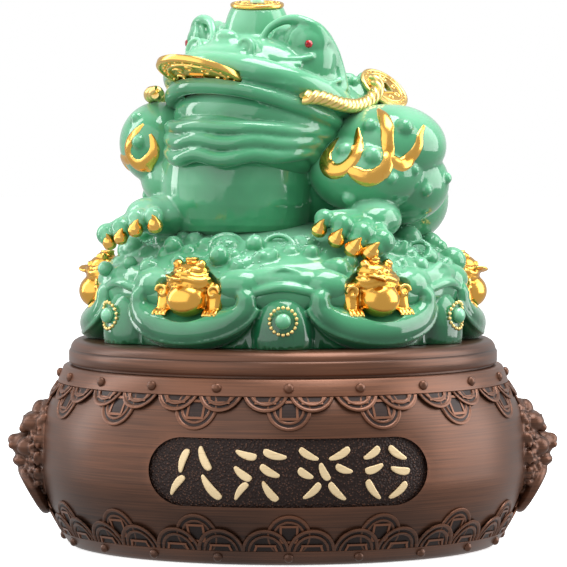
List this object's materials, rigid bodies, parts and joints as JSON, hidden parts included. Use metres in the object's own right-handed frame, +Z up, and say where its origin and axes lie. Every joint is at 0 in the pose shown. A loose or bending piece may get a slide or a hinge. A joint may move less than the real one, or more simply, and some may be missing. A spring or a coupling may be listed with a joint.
{
  "type": "money toad figure",
  "caption": "Money toad of green, jade-like resin with a gold coin in its mouth, on a lotus base that stands on the lid of a round bronze-coloured bowl with lion masks.",
  "frame": {"origin": "centre of the bowl's underside, on the surface that it stands on", "axes": "+Z up, -Y out of the front with the sunk panel, +X towards the left lion mask, on the viewer's right"},
  "size_m": [0.3446, 0.301, 0.3423],
  "materials": {
    "bronze_finish": "cast resin with a dark brown metallic lacquer, rubbed to a satin sheen on the high places",
    "jade_resin": "cast translucent green resin with pale clouds, polished to a high gloss",
    "gold_plate": "warm gold electroplate, bright on the high places and darker in the hollows",
    "pale_gold": "pale gold leaf, softly bright",
    "red_stone": "faceted clear red acrylic with a foiled back"
  },
  "bodies": {
    "root": {"treasure_bowl": "bronze_finish", "bowl_lid": "bronze_finish", "lion_mask_left": "bronze_finish", "lion_mask_right": "bronze_finish", "jade_figure": "jade_resin", "mouth_coin": "gold_plate", "crown_coin": "gold_plate", "crown_pearl": "jade_resin", "back_coin_left": "pale_gold", "back_coin_right": "pale_gold", "rope_left": "pale_gold", "rope_right": "pale_gold", "eye_stone_left": "red_stone", "eye_stone_right": "red_stone", "small_toad_1": "gold_plate", "small_toad_2": "gold_plate", "small_toad_3": "gold_plate", "small_toad_4": "gold_plate", "small_toad_5": "gold_plate", "small_toad_6": "gold_plate"}
  },
  "joints": []
}
